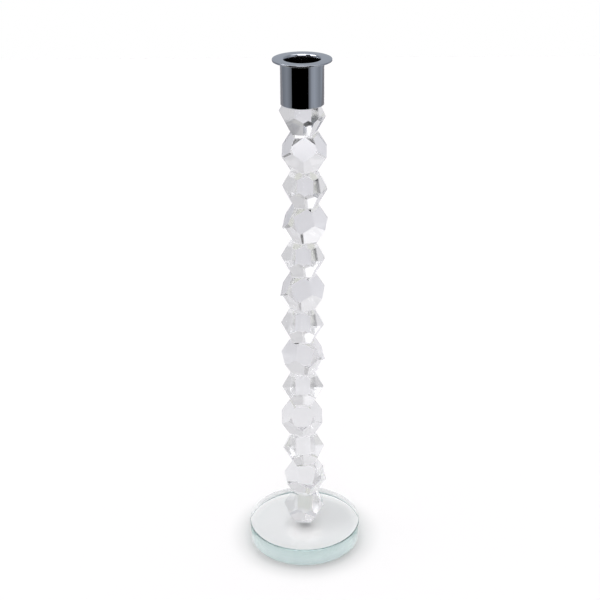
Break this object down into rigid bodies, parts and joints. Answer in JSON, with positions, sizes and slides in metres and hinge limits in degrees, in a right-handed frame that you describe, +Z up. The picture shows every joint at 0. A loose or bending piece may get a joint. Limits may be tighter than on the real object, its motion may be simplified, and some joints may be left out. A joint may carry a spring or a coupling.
{
  "type": "glass candlestick",
  "caption": "Table candlestick: a stacked column of faceted clear crystals on a thick round glass base, topped by a chromed flanged socket for a taper candle.",
  "frame": {"origin": "centre of the base disc's underside, on the surface that the candlestick stands on", "axes": "+Z up along the column to the candle socket; -Y is the front; +X to the right"},
  "size_m": [0.08, 0.08, 0.3545],
  "materials": {
    "base_glass": "clear glass with a faint blue-green tint seen through its edge, fire polished",
    "crystal": "colourless optical crystal, facets ground flat and polished",
    "adhesive": "clear light-cured acrylic adhesive, thin film",
    "chrome": "bright decorative chrome over turned brass"
  },
  "bodies": {
    "root": {"base_disc": "base_glass", "bead_01": "crystal", "bead_02": "crystal", "bead_03": "crystal", "bead_04": "crystal", "bead_05": "crystal", "bead_06": "crystal", "bead_07": "crystal", "bead_08": "crystal", "bead_09": "crystal", "bead_10": "crystal", "bead_11": "crystal", "bead_12": "crystal", "bead_13": "crystal", "adhesive_01": "adhesive", "adhesive_02": "adhesive", "adhesive_03": "adhesive", "adhesive_04": "adhesive", "adhesive_05": "adhesive", "adhesive_06": "adhesive", "adhesive_07": "adhesive", "adhesive_08": "adhesive", "adhesive_09": "adhesive", "adhesive_10": "adhesive", "adhesive_11": "adhesive", "adhesive_12": "adhesive", "adhesive_13": "adhesive", "adhesive_14": "adhesive", "candle_socket": "chrome"}
  },
  "joints": []
}
